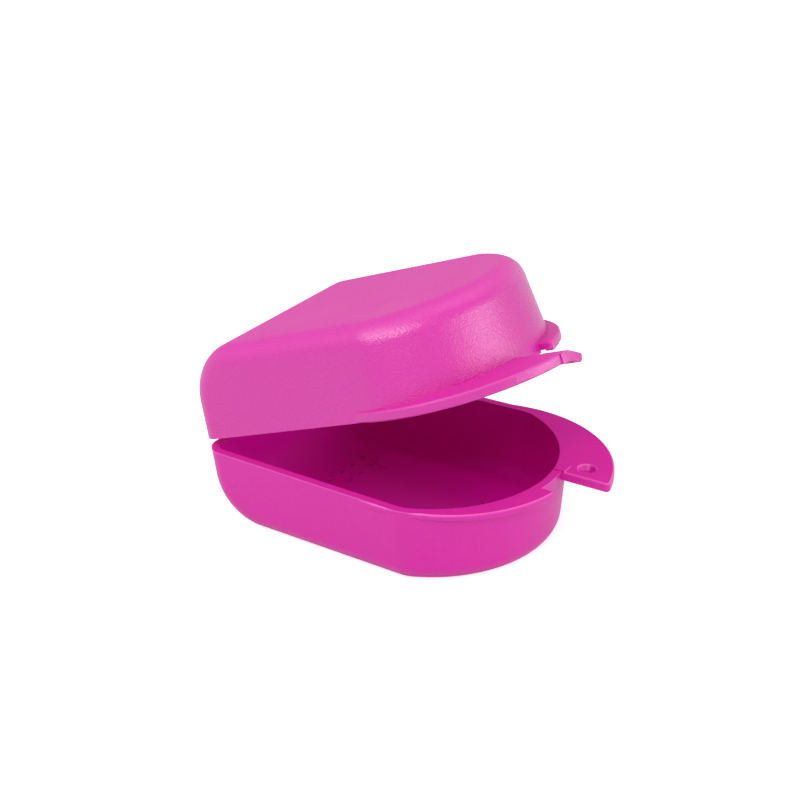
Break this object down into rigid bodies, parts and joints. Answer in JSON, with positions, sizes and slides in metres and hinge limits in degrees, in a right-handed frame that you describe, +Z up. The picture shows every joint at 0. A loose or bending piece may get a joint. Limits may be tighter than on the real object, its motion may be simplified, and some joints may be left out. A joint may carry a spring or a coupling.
{
  "type": "hinged retainer case",
  "caption": "Two-shell plastic case for a dental retainer, D-shaped in plan, with a rear hinge, offset front brims, a lanyard hole and a vented floor.",
  "frame": {"origin": "centre of the base's flat underside, midway between the rear of the rim and the front of the rim", "axes": "+Z up out of the base's mouth, +Y to the hinge, -Y to the front brims, +X to the side with the base's wide brim and lanyard hole"},
  "size_m": [0.0704, 0.1081, 0.0731],
  "materials": {
    "base_plastic": "fine spark texture",
    "lid_plastic": "fine spark texture",
    "pin_plastic": "smooth"
  },
  "bodies": {
    "base": {"base_shell": "base_plastic", "hinge_pin": "pin_plastic"},
    "lid": {"lid_shell": "lid_plastic"}
  },
  "joints": [
    {"name": "lid_hinge", "type": "hinge", "parent": "base", "child": "lid", "pos_m": [0, 0.049, 0.0195], "axis": [-1, 0, 0], "range_deg": [-20.3, 139.7]}
  ]
}
